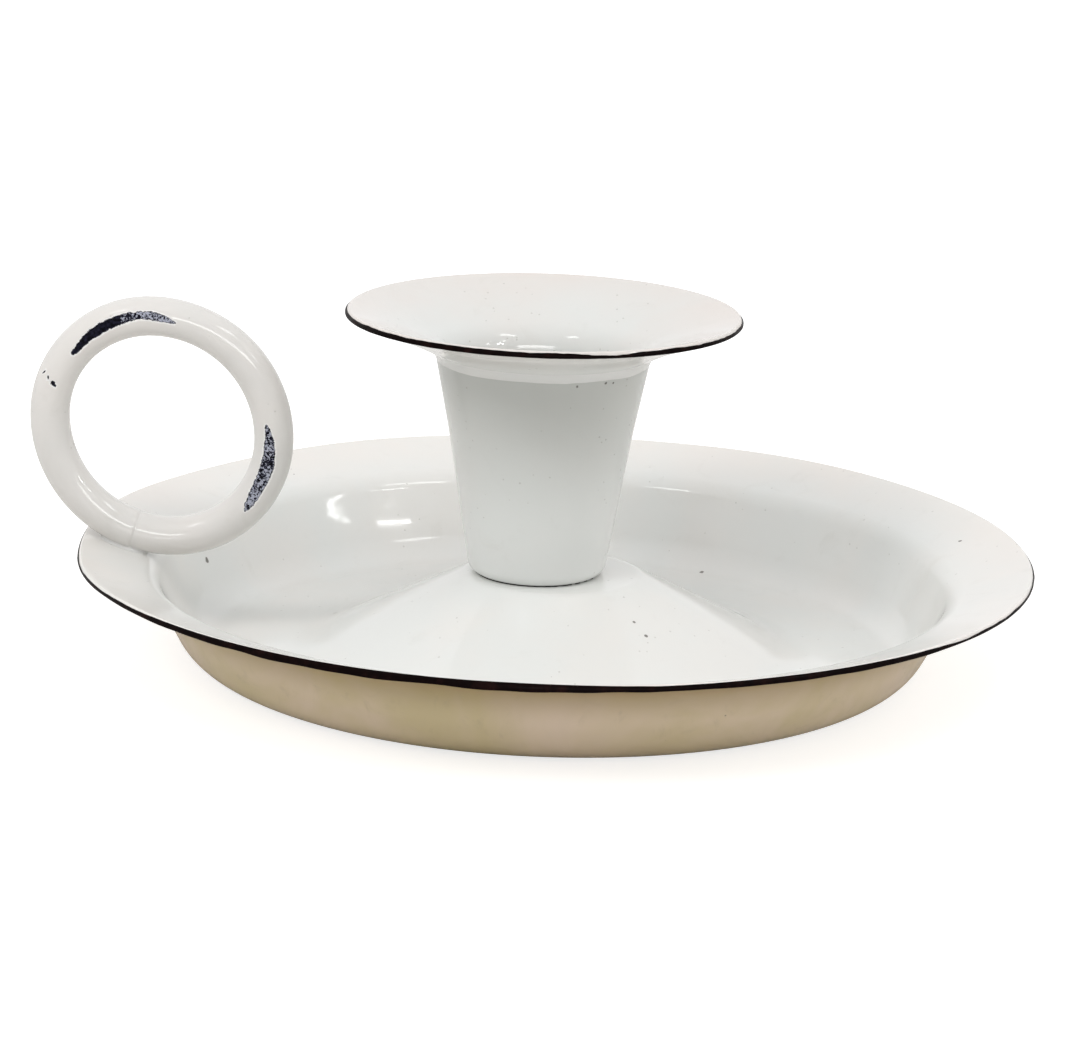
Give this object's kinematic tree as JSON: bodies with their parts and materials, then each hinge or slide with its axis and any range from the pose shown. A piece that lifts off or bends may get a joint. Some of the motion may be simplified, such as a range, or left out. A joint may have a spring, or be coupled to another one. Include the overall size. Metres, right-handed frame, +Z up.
{
  "type": "chamberstick",
  "caption": "Enamelled chamberstick: a wide flared saucer with a raised cone, a tapered candle socket with a drip collar, and a tube ring on the rim for a finger.",
  "frame": {"origin": "centre of the flat ring under the trough that the saucer rests on, on the resting plane", "axes": "+Z up, out of the candle socket; the finger ring stands towards -X; the part is the same on both sides of the XZ plane"},
  "size_m": [0.1676, 0.16, 0.0592],
  "materials": {
    "white_enamel": "glossy vitreous enamel, lightly worn",
    "black_enamel": "glossy vitreous enamel, a little thin and uneven"
  },
  "bodies": {
    "root": {"drip_pan": "white_enamel", "pan_edge_band": "black_enamel", "candle_socket": "white_enamel", "drip_collar": "white_enamel", "collar_edge_band": "black_enamel", "collar_braze": "white_enamel", "socket_rivet": "white_enamel", "finger_ring": "white_enamel", "ring_braze": "white_enamel"}
  },
  "joints": []
}
